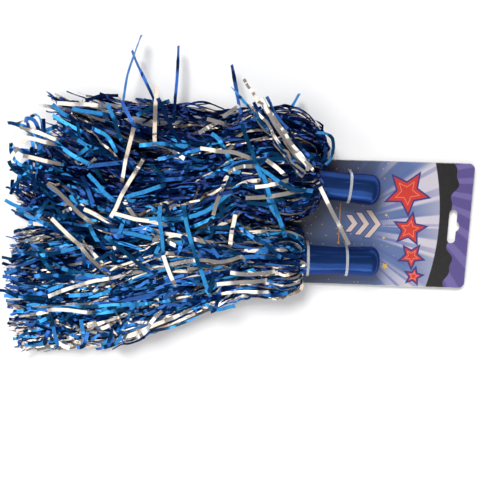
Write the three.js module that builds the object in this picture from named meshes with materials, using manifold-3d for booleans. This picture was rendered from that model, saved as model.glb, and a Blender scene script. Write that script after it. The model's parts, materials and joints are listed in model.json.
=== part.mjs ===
// A pair of foil cheer pom poms tied by their handles to a hanging header card.
// Millimetres, +Z up. The card lies flat on its back with the hang slot towards +X and the foil
// tassels lying towards -X. The origin is the centre of the card's back face.
import * as THREE from "three";
import { mergeVertices } from "three/addons/utils/BufferGeometryUtils.js";
import Module from "manifold-3d";

const wasm = await Module();
wasm.setup();

// ---- Driving dimensions ----
const GAP = 0.3; // between neighbouring pieces
const SEGMENTS = 24; // round a turned piece
const ARC_SEGMENTS = 14; // along each round stretch of a flat outline

const CARD = { length: 190, width: 120, thickness: 0.6, corner: 7 };
const HANG_SLOT = { x: 78.5, length: 32, width: 7.6, nubRadius: 5, nubRise: 1.8 };

const HANDLE = { length: 98, bulge: 14, waist: 12.9, mouth: 12.9, bore: 10.9, boreDepth: 88 };
const DOME = { radius: 9, depth: 8.46 }; // how far the rounded end reaches in from the side and along
const HANDLE_BULGES = [33, 89]; // distance of each widest place from the mouth
const AXIS_HEIGHT = CARD.thickness + HANDLE.bulge + 0.4; // handle axis above the card's back

const TIE = { width: 2.5, thickness: 1.1, clearance: 0.4, headSize: 5.2, headHeight: 3.4, bend: 1.6 };
const FLOOR = -(GAP + TIE.thickness + TIE.headHeight); // what the tie heads and tassels lie on

const FERRULE = { length: 17, flange: 12.7, flangeThickness: 2.2, socket: 8.2, socketDepth: 13, wireHole: 1 };
const WIRE = { radius: 0.6, spread: 4, bend: 2.4 };
const WASHER = { radius: 7.5, hole: 1, thickness: 1 };
const ROOT = { radius: 7.6, reach: 9.5 }; // the bound fold of foil, and how far it stands out of the mouth
const BAND = { radius: 9.4, width: 4.6 };
const NECK = { reach: 14, halfWidth: 3.2, halfHeight: 3 }; // from the pivot to where a lock begins; its size
const PUFF_CLEAR = { card: 0.5, handle: 0.8, hinge: 0.8, tie: 1 }; // round the foil that puffs over the mouth
const FOIL = { width: 3.6, thickness: 0.5 }; // one loose strip

// Each pom pom: where its handle's mouth is on the card, how far the handle is turned, and its ties.
const POMS = {
  a: { mouth: [-91.7, 41.3], yaw: -4.6, ties: [35.8, 69.9] },
  b: { mouth: [-88, -33.8], yaw: 0.5, ties: [30.8, 66.8] },
};

// Locks of foil, each running from the neck to a free end: [colour, end x, y, height of its middle above
// the floor, sideways bow, half width, half height].
const LOCKS = {
  a: [
    ["blue", -303, 97, 7, 26, 10, 5.5],
    ["silver", -322, 62, 7, 8, 9, 5.5],
    ["blue", -327, 17, 7, -10, 10, 5.5],
    ["blue", -306, 78, 35, 22, 9.5, 5.5],
    ["silver", -314, 36, 37, 2, 9, 5.5],
  ],
  b: [
    ["blue", -341, -20, 7, 6, 10, 5.5],
    ["silver", -346, -72, 7, -3, 9, 5.5],
    ["blue", -331, -124, 7, -18, 10, 5.5],
    ["silver", -338, -44, 35, 2, 9, 5.5],
    ["blue", -330, -98, 35, -12, 9.5, 5.5],
  ],
};

// Strips that have worked loose and stand clear of the tassels, each by the points along it.
const LOOSE_STRIPS = {
  a: [
    ["blue", [[-200, 108, 12], [-212, 130, 16], [-223, 153, 9]]],
    ["blue", [[-229, 112, 16], [-224, 138, 20], [-214, 167, 9]]],
    ["blue", [[-183, 112, 10], [-181, 134, 14], [-181, 158, 8]]],
    ["blue", [[-124, 101, 10], [-128, 122, 15], [-133, 143, 9]]],
    ["blue", [[-86, 96, 12], [-78, 106, 14], [-71, 119, 9]]],
    ["silver", [[-266, 97, 17], [-290, 101, 17], [-309, 103, 11]]],
  ],
  b: [
    ["silver", [[-312, -121, 16], [-328, -133, 13], [-340, -144, 5]]],
    ["blue", [[-222, -116, 9], [-240, -127, 11], [-262, -134, 4]]],
  ],
};

// ---- Materials ----
const MATERIALS = {
  board: { color: 0x6f7fa6, roughness: 0.55, metalness: 0 },
  nylon: { color: 0xe6e6e2, roughness: 0.4, metalness: 0 },
  bluePlastic: { color: 0x1f4f9e, roughness: 0.28, metalness: 0.15 },
  ferrule: { color: 0x20242c, roughness: 0.5, metalness: 0 },
  steel: { color: 0xb9bcc0, roughness: 0.35, metalness: 1 },
  fibre: { color: 0x8a6d4a, roughness: 0.8, metalness: 0 },
  rubber: { color: 0x16181c, roughness: 0.8, metalness: 0 },
  blue: { color: 0x164a9c, roughness: 0.22, metalness: 0.9 },
  silver: { color: 0xcfc8bd, roughness: 0.22, metalness: 0.9 },
};

function piece(name, geometry, material) {
  const mesh = new THREE.Mesh(geometry, new THREE.MeshStandardMaterial(MATERIALS[material]));
  mesh.name = name;
  return mesh;
}

// ---- Booleans ----
function solid(geometry) {
  const bare = geometry.index ? geometry.toNonIndexed() : geometry.clone();
  bare.deleteAttribute("normal");
  bare.deleteAttribute("uv");
  const merged = mergeVertices(bare, 1e-4);
  return new wasm.Manifold(
    new wasm.Mesh({
      numProp: 3,
      vertProperties: merged.attributes.position.array,
      triVerts: new Uint32Array(merged.index.array),
    }),
  );
}

function geometryOf(manifold) {
  const mesh = manifold.getMesh();
  return new THREE.BufferGeometry()
    .setAttribute("position", new THREE.BufferAttribute(mesh.vertProperties, 3))
    .setIndex(new THREE.BufferAttribute(mesh.triVerts, 1));
}

function subtract(geometry, ...tools) {
  return geometryOf(tools.reduce((body, tool) => body.subtract(solid(tool)), solid(geometry)));
}

function join(geometry, ...others) {
  return geometryOf(others.reduce((body, other) => body.add(solid(other)), solid(geometry)));
}

// ---- Shape helpers ----
// A piece turned about the handle's axis; its profile is a list of [distance along X, radius].
function turned(profile, segments = SEGMENTS) {
  const points = profile.map(([x, r]) => new THREE.Vector2(r, x));
  return new THREE.LatheGeometry(points, segments).rotateZ(-Math.PI / 2);
}

// A rod along X.
function rod(radius, fromX, toX, y = 0, segments = SEGMENTS) {
  return new THREE.CylinderGeometry(radius, radius, toX - fromX, segments)
    .rotateZ(-Math.PI / 2)
    .translate((fromX + toX) / 2, y, 0);
}

function block(low, high) {
  const size = high.map((value, i) => value - low[i]);
  return new THREE.BoxGeometry(...size).translate(...high.map((value, i) => (value + low[i]) / 2));
}

// Points along an arc in a plane, both ends included.
function arc(x, y, radius, from, to, steps) {
  return Array.from({ length: steps + 1 }, (_, i) => {
    const angle = from + ((to - from) * i) / steps;
    return new THREE.Vector2(x + radius * Math.cos(angle), y + radius * Math.sin(angle));
  });
}

// A closed skin over rings of points, given in order along the piece.
function skin(rings) {
  const sides = rings[0].length;
  const at = (ring, side) => ring * sides + (side % sides);
  const faces = [];
  for (let ring = 0; ring < rings.length - 1; ring++)
    for (let side = 0; side < sides; side++) {
      faces.push(at(ring, side), at(ring, side + 1), at(ring + 1, side + 1));
      faces.push(at(ring, side), at(ring + 1, side + 1), at(ring + 1, side));
    }
  const last = rings.length - 1;
  for (let side = 1; side < sides - 1; side++) {
    faces.push(at(0, 0), at(0, side + 1), at(0, side));
    faces.push(at(last, 0), at(last, side), at(last, side + 1));
  }
  const positions = rings.flat().flatMap((point) => point.toArray());
  return new THREE.BufferGeometry()
    .setAttribute("position", new THREE.Float32BufferAttribute(positions, 3))
    .setIndex(faces);
}

// A piece whose cross-section, a list of [sideways, up] from section(t), is carried along a curve.
function carried(curve, steps, section) {
  const rings = [];
  for (let step = 0; step <= steps; step++) {
    const t = step / steps;
    const centre = curve.getPointAt(t);
    const along = curve.getTangentAt(t);
    const side = new THREE.Vector3(0, 0, 1).cross(along).normalize();
    const up = new THREE.Vector3().crossVectors(along, side);
    rings.push(
      section(t).map(([s, u]) => centre.clone().addScaledVector(side, s).addScaledVector(up, u)),
    );
  }
  return skin(rings);
}

// ---- Header card ----
function roundedRectangle(shape, length, width, corner) {
  const x = length / 2 - corner;
  const y = width / 2 - corner;
  shape.absarc(x, -y, corner, -Math.PI / 2, 0);
  shape.absarc(x, y, corner, 0, Math.PI / 2);
  shape.absarc(-x, y, corner, Math.PI / 2, Math.PI);
  shape.absarc(-x, -y, corner, Math.PI, Math.PI * 1.5);
  shape.closePath();
  return shape;
}

// The slot a display hook goes through: a bar across the card with a round nub in the middle of its far side.
function hangSlot() {
  const { x, length, width, nubRadius, nubRise } = HANG_SLOT;
  const end = width / 2;
  const straight = length / 2 - end;
  const half = Math.acos((end - nubRise) / nubRadius); // angle to where the nub meets the bar
  const path = new THREE.Path();
  path.absarc(x, -straight, end, Math.PI, Math.PI * 2);
  path.absarc(x + nubRise, 0, nubRadius, -half, half);
  path.absarc(x, straight, end, 0, Math.PI);
  path.closePath();
  return path;
}

// The two slits a tie's legs go through.
function tieSlits(pom, at) {
  const reach = HANDLE.bulge + TIE.clearance + TIE.thickness / 2;
  const halfLength = TIE.width / 2 + GAP;
  const halfWidth = TIE.thickness / 2 + GAP;
  const turn = THREE.MathUtils.degToRad(pom.yaw);
  return [-reach, reach].map((offset) => {
    const corners = [[-1, -1], [1, -1], [1, 1], [-1, 1]].map(([i, j]) =>
      new THREE.Vector2(at + i * halfLength, offset + j * halfWidth)
        .rotateAround(new THREE.Vector2(), turn)
        .add(new THREE.Vector2(...pom.mouth)),
    );
    return new THREE.Path(corners);
  });
}

function headerCard() {
  const outline = roundedRectangle(new THREE.Shape(), CARD.length, CARD.width, CARD.corner);
  outline.holes.push(hangSlot());
  for (const pom of Object.values(POMS))
    for (const at of pom.ties) outline.holes.push(...tieSlits(pom, at));
  const board = new THREE.ExtrudeGeometry(outline, {
    depth: CARD.thickness,
    bevelEnabled: false,
    curveSegments: ARC_SEGMENTS,
  });
  return piece("header_card", board, "board");
}

// ---- Cable ties: each a strap over the handle and through the card, closed by a head behind it ----
function cableTie(name, at) {
  const { width, thickness, clearance, headSize, headHeight, bend } = TIE;
  const strapBottom = -AXIS_HEIGHT - GAP;
  const strapLoop = (radius, bottom, corner) => [
    ...arc(0, 0, radius, 0, Math.PI, 18),
    ...arc(-radius + corner, bottom + corner, corner, Math.PI, Math.PI * 1.5, 3),
    ...arc(radius - corner, bottom + corner, corner, Math.PI * 1.5, Math.PI * 2, 3),
  ];
  const inner = HANDLE.bulge + clearance;
  const strap = new THREE.Shape(strapLoop(inner + thickness, strapBottom - thickness, bend));
  strap.holes.push(new THREE.Path(strapLoop(inner, strapBottom, bend - thickness)));
  const band = new THREE.ExtrudeGeometry(strap, { depth: width, bevelEnabled: false })
    .translate(0, 0, -width / 2)
    .rotateX(Math.PI / 2)
    .rotateZ(Math.PI / 2);
  const half = headSize / 2;
  const headTop = strapBottom - thickness + 0.4;
  const headBottom = strapBottom - thickness - headHeight;
  const head = block([-half, -half, headBottom], [half, half, headTop]);
  return piece(name, join(band, head).translate(at, 0, 0), "nylon");
}

// ---- Handle: a hollow moulded baton with a domed end, open at the mouth ----
function handleRadius(x) {
  const [near, far] = HANDLE_BULGES;
  const { bulge, waist, mouth } = HANDLE;
  if (x < near) return mouth + (bulge - mouth) * Math.sin((x / near) * (Math.PI / 2));
  const phase = Math.min(1, (x - near) / (far - near));
  return waist + (bulge - waist) * (0.5 + 0.5 * Math.cos(phase * Math.PI * 2));
}

function handle(name) {
  const { length, bulge, bore, boreDepth } = HANDLE;
  const profile = [[boreDepth, 0], [boreDepth - 3, bore * 0.7], [boreDepth - 10, bore], [0, bore]];
  const sideEnd = length - DOME.radius;
  const sideSteps = 11;
  for (let i = 0; i <= sideSteps; i++) {
    const x = (sideEnd * i) / sideSteps;
    profile.push([x, handleRadius(x)]);
  }
  const domeSteps = 5;
  for (let i = 1; i <= domeSteps; i++) {
    const angle = (Math.PI / 2) * (i / domeSteps);
    const rim = bulge - DOME.radius + DOME.radius * Math.cos(angle);
    profile.push([sideEnd + DOME.depth * Math.sin(angle), rim]);
  }
  profile.push([length, 0]);
  return piece(name, turned(profile), "bluePlastic");
}

// ---- What holds the foil in the handle's mouth ----
function ferrule(name) {
  const { length, flange, flangeThickness, socket, socketDepth, wireHole } = FERRULE;
  const outside = -GAP - flangeThickness;
  const barrel = HANDLE.bore - GAP;
  const body = turned([
    [outside + socketDepth, 0],
    [outside + socketDepth, socket],
    [outside, socket],
    [outside, flange],
    [-GAP, flange],
    [-GAP, barrel],
    [length, barrel - 0.6],
    [length, 0],
  ]);
  const holes = [-WIRE.spread, WIRE.spread].map((y) => rod(wireHole, 0, length + 1, y, 12));
  return piece(name, subtract(body, ...holes), "ferrule");
}

// The staple runs through the fold of the foil, and its two legs are bent over behind the washer.
function staplePath() {
  const bridge = 2.5; // distance of the bridge from the mouth, inside the socket
  const { spread, bend } = WIRE;
  const behind = FERRULE.length + GAP * 2 + WASHER.thickness + bend; // where the ends lie
  const path = new THREE.CurvePath();
  const point = (x, y) => new THREE.Vector3(x, y, 0);
  const line = (a, b) => path.add(new THREE.LineCurve3(point(...a), point(...b)));
  const curve = (a, b, c) =>
    path.add(new THREE.QuadraticBezierCurve3(point(...a), point(...b), point(...c)));
  const tuck = spread + 3; // the ends are bent outwards
  line([behind, -tuck], [behind, -spread - bend]);
  curve([behind, -spread - bend], [behind, -spread], [behind - bend, -spread]);
  line([behind - bend, -spread], [bridge + bend, -spread]);
  curve([bridge + bend, -spread], [bridge, -spread], [bridge, -spread + bend]);
  line([bridge, -spread + bend], [bridge, spread - bend]);
  curve([bridge, spread - bend], [bridge, spread], [bridge + bend, spread]);
  line([bridge + bend, spread], [behind - bend, spread]);
  curve([behind - bend, spread], [behind, spread], [behind, spread + bend]);
  line([behind, spread + bend], [behind, tuck]);
  return path;
}

function wireAlong(radius) {
  const section = new THREE.Shape().absarc(0, 0, radius, 0, Math.PI * 2);
  return new THREE.ExtrudeGeometry(section, { steps: 40, curveSegments: 3, extrudePath: staplePath() });
}

function staple(name) {
  return piece(name, wireAlong(WIRE.radius), "steel");
}

function washer(name) {
  const near = FERRULE.length + GAP;
  const disc = rod(WASHER.radius, near, near + WASHER.thickness);
  const holes = [-WIRE.spread, WIRE.spread].map((y) => rod(WASHER.hole, near - 1, near + 2, y, 12));
  return piece(name, subtract(disc, ...holes), "fibre");
}

// The fold of all the strips, packed in the ferrule's socket round the staple.
function foilRoot(name) {
  const depth = FERRULE.socketDepth - FERRULE.flangeThickness - GAP * 2;
  const core = turned([
    [-ROOT.reach, 0],
    [-ROOT.reach, ROOT.radius - 1.5],
    [-ROOT.reach + 1.5, ROOT.radius],
    [depth - 1, ROOT.radius],
    [depth - 0.3, 0],
  ]);
  return piece(name, subtract(core, wireAlong(WIRE.radius + GAP)), "blue");
}

function bindingBand(name) {
  const inner = ROOT.radius + GAP;
  const far = -FERRULE.flangeThickness - GAP * 2;
  const near = far - BAND.width;
  const round = 0.5;
  const ring = turned([
    [near, inner],
    [near, BAND.radius - round],
    [near + round, BAND.radius],
    [far - round, BAND.radius],
    [far, BAND.radius - round],
    [far, inner],
    [near, inner],
  ]);
  return piece(name, ring, "rubber");
}

// ---- Foil ----
// The bulge of folded strips that puffs back over the handle's mouth, clear of the handle, card and tie.
function foldedLoops(name, centre, radii, tieAt) {
  const bulge = new THREE.SphereGeometry(1, 22, 14).scale(...radii).translate(...centre);
  const far = 200;
  const { card, handle: round, hinge, tie } = PUFF_CLEAR;
  const clearOfCard = block([-far, -far, -far], [far, far, -AXIS_HEIGHT + CARD.thickness + card]);
  const clearOfHandle = rod(HANDLE.bulge + round, -far, far);
  const clearOfHinge = block([-far, -far, -far], [hinge, far, far]);
  const tieSide = HANDLE.bulge + TIE.clearance + TIE.thickness + tie * 2;
  const clearOfTie = block([tieAt - TIE.width / 2 - tie, -far, -far], [far, tieSide, far]);
  return piece(
    name,
    subtract(bulge, clearOfCard, clearOfHandle, clearOfHinge, clearOfTie),
    "blue",
  );
}

function neckPoint(pom, distance, sideways, height) {
  return new THREE.Vector3(-ROOT.reach - distance, sideways, height)
    .applyAxisAngle(new THREE.Vector3(0, 0, 1), THREE.MathUtils.degToRad(pom.yaw))
    .add(new THREE.Vector3(...pom.mouth, AXIS_HEIGHT));
}

function foilLock(name, pom, place, lock) {
  const [material, endX, endY, height, bow, halfWidth, halfHeight] = lock;
  const upper = height > 20;
  const rowHeight = NECK.halfHeight * 1.2; // the two rows of locks begin this far above and below the axis
  const start = neckPoint(pom, NECK.reach, place, upper ? rowHeight : -rowHeight);
  const end = new THREE.Vector3(endX, endY, FLOOR + height);
  const middle = new THREE.Vector3().lerpVectors(start, end, 0.45);
  middle.y += bow;
  middle.z = FLOOR + height + (upper ? 4 : 0);
  const curve = new THREE.CatmullRomCurve3([start, middle, end]);
  const sides = 10;
  const section = (t) => {
    const growth = Math.sin(Math.min(1, t / 0.4) * (Math.PI / 2));
    const wide = NECK.halfWidth + (halfWidth - NECK.halfWidth) * growth;
    const high = NECK.halfHeight + (halfHeight - NECK.halfHeight) * growth;
    return Array.from({ length: sides }, (_, i) => {
      const angle = ((i + 0.5) / sides) * Math.PI * 2;
      return [wide * Math.cos(angle), high * Math.sin(angle)];
    });
  };
  return piece(name, carried(curve, 9, section), material);
}

function looseStrip(name, [material, points]) {
  const curve = new THREE.CatmullRomCurve3(points.map(([x, y, z]) => new THREE.Vector3(x, y, z + FLOOR)));
  const [w, h] = [FOIL.width / 2, FOIL.thickness / 2];
  const section = () => [[w, -h], [w, h], [-w, h], [-w, -h]];
  return piece(name, carried(curve, 6, section), material);
}

// ---- Assembly ----
function handleAssembly(id, pom, loops) {
  const group = new THREE.Group();
  group.position.set(...pom.mouth, AXIS_HEIGHT);
  group.rotation.z = THREE.MathUtils.degToRad(pom.yaw);
  group.add(
    handle(`handle_${id}`),
    ferrule(`ferrule_${id}`),
    staple(`staple_${id}`),
    washer(`washer_${id}`),
    foilRoot(`foil_root_${id}`),
    bindingBand(`binding_band_${id}`),
    foldedLoops(`folded_loops_${id}`, loops.centre, loops.radii, pom.ties[0]),
    cableTie(`cable_tie_${id}_mouth`, pom.ties[0]),
    cableTie(`cable_tie_${id}_waist`, pom.ties[1]),
  );
  return group;
}

function tassel(id, pom) {
  const group = new THREE.Group();
  const rowPlaces = { lower: [8, 0, -8], upper: [4.5, -4.5] };
  const counts = {};
  LOCKS[id].forEach((lock) => {
    const row = rowPlaces[lock[3] > 20 ? "upper" : "lower"];
    counts[lock[0]] = (counts[lock[0]] ?? 0) + 1;
    group.add(foilLock(`${lock[0]}_lock_${id}_${counts[lock[0]]}`, pom, row.shift(), lock));
  });
  LOOSE_STRIPS[id].forEach((strip, i) => group.add(looseStrip(`loose_strip_${id}_${i + 1}`, strip)));
  return group;
}

const pompoms = new THREE.Group();
pompoms.add(
  headerCard(),
  handleAssembly("a", POMS.a, { centre: [8, 18, 7], radii: [38, 38, 23] }),
  handleAssembly("b", POMS.b, { centre: [3, -7, 2], radii: [25, 28, 20] }),
  tassel("a", POMS.a),
  tassel("b", POMS.b),
);

export default pompoms;
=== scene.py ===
"""A pair of foil cheer pom poms tied by their handles to a hanging header card.

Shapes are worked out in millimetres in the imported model's frame: +Z up, the card's back at z = 0, the hang
slot towards +X and the tassels towards -X. Each mesh is turned into metres as it is made.
"""

import json
import math

import bpy
import numpy as np
from mathutils import Matrix, Vector


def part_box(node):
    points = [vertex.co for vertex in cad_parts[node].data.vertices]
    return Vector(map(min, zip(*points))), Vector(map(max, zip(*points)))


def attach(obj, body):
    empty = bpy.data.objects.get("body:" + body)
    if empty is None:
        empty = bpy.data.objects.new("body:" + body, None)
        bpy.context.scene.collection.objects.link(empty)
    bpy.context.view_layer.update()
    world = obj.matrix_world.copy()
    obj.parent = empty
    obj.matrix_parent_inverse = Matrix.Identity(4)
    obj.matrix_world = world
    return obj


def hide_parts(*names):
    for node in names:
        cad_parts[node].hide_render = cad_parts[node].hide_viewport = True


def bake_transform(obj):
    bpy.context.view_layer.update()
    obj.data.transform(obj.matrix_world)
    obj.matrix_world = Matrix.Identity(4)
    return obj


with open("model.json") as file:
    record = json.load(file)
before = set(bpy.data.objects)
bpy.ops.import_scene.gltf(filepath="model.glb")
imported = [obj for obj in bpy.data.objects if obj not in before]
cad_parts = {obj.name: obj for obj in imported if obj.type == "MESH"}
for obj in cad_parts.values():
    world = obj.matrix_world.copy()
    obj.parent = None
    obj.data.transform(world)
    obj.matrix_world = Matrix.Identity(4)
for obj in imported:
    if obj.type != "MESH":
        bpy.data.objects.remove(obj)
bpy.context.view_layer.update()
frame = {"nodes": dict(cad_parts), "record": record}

MM = 0.001
rng = np.random.default_rng(20)

# ---- Places read from the frame, in millimetres ----
JOINTS = {joint["name"]: joint for joint in frame["record"]["behaviour"]["joints"]}
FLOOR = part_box("cable_tie_a_mouth")[0][2] / MM
CARD_LOW, CARD_HIGH = (np.array(corner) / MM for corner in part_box("header_card"))
ROOT_REACH = 9.5  # from the handle's mouth to the tassel's pivot


class Pom:
    """Where one pom pom's handle and neck lie."""

    def __init__(self, key, ties):
        self.key = key
        self.grip = f"pom_{key}_grip"
        self.tassel = f"pom_{key}_tassel"
        self.neck = np.array(JOINTS[f"lift_{key}"]["pos_m"]) / MM
        self.along = -np.array(JOINTS[f"slide_out_{key}"]["axis"])  # from the mouth to the domed end
        self.across = np.array(JOINTS[f"lift_{key}"]["axis"])
        self.mouth = self.neck + self.along * ROOT_REACH
        self.ties = ties  # distance of each cable tie from the mouth

    def place(self, along, across, up):
        """Points given along the handle from its mouth, across it and above its axis."""
        along, across, up = (np.asarray(v, float)[..., None] for v in (along, across, up))
        return self.mouth + along * self.along + across * self.across + up * np.array([0, 0, 1.0])


POMS = {"a": Pom("a", (35.8, 69.9)), "b": Pom("b", (30.8, 66.8))}

# ---- Camera: looking down at the pack, leaning a little towards +Y ----
CAMERA_TARGET = (-121.0, -16.6, 15.0)
CAMERA_DISTANCE = 650.0
CAMERA_LEAN = (-1.8, 11.9)  # degrees towards +X and +Y
CAMERA_ROLL = 1.5
CAMERA_LENS = 52.0


def make_camera():
    camera = bpy.data.objects.new("camera", bpy.data.cameras.new("camera"))
    bpy.context.collection.objects.link(camera)
    camera.data.lens = CAMERA_LENS
    camera.data.sensor_width = 36.0
    camera.data.clip_start = 0.05
    lean_x, lean_y = (math.sin(math.radians(angle)) for angle in CAMERA_LEAN)
    back = Vector((-lean_x, lean_y, math.sqrt(1 - lean_x**2 - lean_y**2)))
    right = Vector((0, 1, 0)).cross(back).normalized()
    up = back.cross(right)
    roll = math.radians(CAMERA_ROLL)
    right, up = right * math.cos(roll) + up * math.sin(roll), up * math.cos(roll) - right * math.sin(roll)
    turn = Matrix((right, up, back)).transposed().to_4x4()
    place = (Vector(CAMERA_TARGET) + back * CAMERA_DISTANCE) * MM
    camera.matrix_world = Matrix.Translation(place) @ turn
    bpy.context.scene.camera = camera


# ---- Materials ----
class Nodes:
    """A node tree, with short calls for the nodes that this script uses."""

    def __init__(self, owner, shader_type):
        owner.use_nodes = True
        self.tree = owner.node_tree
        self.shader = next(node for node in self.tree.nodes if node.type == shader_type)

    def node(self, kind, inputs=None, **settings):
        made = self.tree.nodes.new("ShaderNode" + kind)
        for setting, value in settings.items():
            setattr(made, setting, value)
        for socket, value in (inputs or {}).items():
            self.feed(made.inputs[socket], value)
        return made

    def feed(self, socket, value):
        if isinstance(value, bpy.types.NodeSocket):
            self.tree.links.new(value, socket)
        elif hasattr(socket, "default_value"):
            wide = getattr(socket, "type", "") == "RGBA" and len(value) == 3
            socket.default_value = (*value, 1) if wide else value

    def ramp(self, value, stops):
        ramp = self.node("ValToRGB", {"Fac": value})
        elements = ramp.color_ramp.elements
        elements.remove(elements[1])
        elements[0].position = stops[0][0]
        elements[0].color = (*stops[0][1], 1)
        for at, colour in stops[1:]:
            elements.new(at).color = (*colour, 1)
        return ramp.outputs["Color"]

    def mix(self, share, low, high):
        mixer = self.node("Mix", data_type="RGBA")
        self.feed(mixer.inputs[0], share)
        self.feed(mixer.inputs[6], low)
        self.feed(mixer.inputs[7], high)
        return mixer.outputs[2]

    def span(self, value, low, high, at_low=0.0, at_high=1.0):
        inputs = {0: value, 1: low, 2: high, 3: at_low, 4: at_high}
        return self.node("MapRange", inputs, clamp=True).outputs[0]

    def set(self, socket, value):
        self.feed(self.shader.inputs[socket], value)


class Material(Nodes):
    """A material with a Principled shader."""

    def __init__(self, name, colour=(0.8, 0.8, 0.8), **sockets):
        self.material = bpy.data.materials.new(name)
        super().__init__(self.material, "BSDF_PRINCIPLED")
        self.material.diffuse_color = (*colour, 1)
        self.shader.inputs["Base Color"].default_value = (*colour, 1)
        for socket, value in sockets.items():
            self.shader.inputs[socket].default_value = value

    def place(self):
        """The point on the object, in millimetres of the frame."""
        point = self.node("TexCoord").outputs["Object"]
        return self.node("VectorMath", {0: point, 3: 1 / MM}, operation="SCALE").outputs[0]

    def noise(self, scale, detail=3.0, roughness=0.5, where=None, stretch=None):
        where = where or self.place()
        if stretch:
            where = self.node("VectorMath", {0: where, 1: stretch}, operation="MULTIPLY").outputs[0]
        inputs = {"Vector": where, "Scale": scale, "Detail": detail, "Roughness": roughness}
        return self.node("TexNoise", inputs).outputs["Fac"]

    def bump(self, height, strength, distance):
        inputs = {"Height": height, "Strength": strength, "Distance": distance}
        self.set("Normal", self.node("Bump", inputs).outputs[0])


def floor_material():
    made = Material("floor_paper", (0.86, 0.86, 0.86), Roughness=0.75)
    made.bump(made.noise(0.4), 0.05, 0.0005)
    return made.material


# Each film's colours: of its darkest strips, of most strips and of its palest; the spread is partly real
# tone, partly painted reflection (pale) and painted shade (dark).
BLUE_FILM = [(0.005, 0.027, 0.17), (0.011, 0.12, 0.43), (0.018, 0.28, 0.62)]
SILVER_FILM = [(0.7, 0.6, 0.48), (0.88, 0.79, 0.68), (0.95, 0.9, 0.84)]


def foil_material(name, colours, metallic):
    """Metallised film: each strip has its own tint, partly painted reflection and shade, and fine noise
    clouds it towards the darkest colour.
    """
    made = Material(name, colours[1], Metallic=metallic, Roughness=0.15)
    made.set("Coat Weight", 0.4)
    made.set("Coat Roughness", 0.12)
    # The shade attribute picks each strip's tint: partly its own tone, partly painted reflection (pale) and
    # painted shade (dark).
    shade = made.node("Attribute", attribute_name="shade").outputs["Fac"]
    strip_colour = made.ramp(shade, [(0.0, colours[0]), (0.55, colours[1]), (1.0, colours[2])])
    cloud = made.span(made.noise(0.35, 2), 0.42, 0.7, 0.0, 0.35)
    made.set("Base Color", made.mix(cloud, strip_colour, colours[0]))
    return made.material


def handle_material():
    """Pearly blue moulded plastic."""
    made = Material("blue_handle_plastic", (0.012, 0.05, 0.23), Metallic=0.72)
    made.set("Specular Tint", (0.12, 0.2, 0.5))
    pearl = made.noise(0.09, 2, stretch=(0.4, 1, 1))
    made.set("Base Color", made.ramp(pearl, [(0.3, (0.016, 0.05, 0.19)), (0.7, (0.024, 0.07, 0.26))]))
    made.set("Roughness", made.span(made.noise(0.1, 2), 0.3, 0.7, 0.19, 0.25))
    made.bump(made.noise(0.045, 1), 0.3, 0.002)
    return made.material


def nylon_material():
    made = Material("natural_nylon", (0.6, 0.63, 0.66), Roughness=0.36)
    made.set("Transmission Weight", 0.15)
    made.set("Subsurface Weight", 0.2)
    made.set("Subsurface Scale", 0.002)
    tone = made.noise(0.5, 2)
    made.set("Base Color", made.ramp(tone, [(0.3, (0.36, 0.38, 0.42)), (0.7, (0.44, 0.46, 0.5))]))
    made.bump(made.noise(1.5, 3), 0.08, 0.0002)
    return made.material


def plain_material(name, low, high, roughness, scale, metallic=0.0, bump=0.1):
    made = Material(name, high, Metallic=metallic)
    tone = made.noise(scale, 4)
    made.set("Base Color", made.ramp(tone, [(0.3, low), (0.7, high)]))
    made.set("Roughness", made.span(tone, 0.3, 0.7, roughness - 0.06, roughness + 0.06))
    made.bump(made.noise(scale * 3, 3), bump, 0.0002)
    return made.material


def paint(red, green, blue):
    """A screen colour, each part from 0 to 255, as linear light."""
    parts = [part / 255 for part in (red, green, blue)]
    return tuple(p / 12.92 if p < 0.04 else ((p + 0.055) / 1.055) ** 2.4 for p in parts)


class Field:
    """A number that varies over a surface. Arithmetic on it adds Math nodes to its material."""

    def __init__(self, made, socket):
        self.made = made
        self.socket = socket

    def math(self, operation, *others):
        inputs = {0: self.socket}
        for index, other in enumerate(others, 1):
            inputs[index] = other.socket if isinstance(other, Field) else other
        return Field(self.made, self.made.node("Math", inputs, operation=operation).outputs[0])

    def __add__(self, other):
        return self.math("ADD", other)

    def __sub__(self, other):
        return self.math("SUBTRACT", other)

    def __mul__(self, other):
        return self.math("MULTIPLY", other)

    def __abs__(self):
        return self.math("ABSOLUTE")

    def within(self, edge=0.35):
        """1 where this distance in millimetres is below zero, 0 above it, soft over the edge."""
        return self.made.span(self.socket, -edge / 2, edge / 2, 1.0, 0.0)

    def span(self, low, high, at_low=0.0, at_high=1.0):
        return Field(self.made, self.made.span(self.socket, low, high, at_low, at_high))


def length_of(x, y):
    return (x * x + y * y).math("SQRT")


def star_distance(x, y, star):
    """Distance outside a five-pointed star, negative inside it."""
    centre_x, centre_y, radius, turn = star
    x, y = x - centre_x, y - centre_y
    reach = length_of(x, y)
    point = math.tau / 5
    angle = abs((y.math("ARCTAN2", x) + (math.tau + turn)).math("MODULO", point) - point / 2)
    angle = angle * -1 + point / 2
    tip = np.array([radius, 0.0])
    notch = 0.46 * radius * np.array([math.cos(point / 2), math.sin(point / 2)])
    edge = notch - tip
    outward = np.array([edge[1], -edge[0]]) / np.linalg.norm(edge)
    return (reach * angle.math("COSINE") - radius) * outward[0] + reach * angle.math("SINE") * outward[1]


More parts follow.
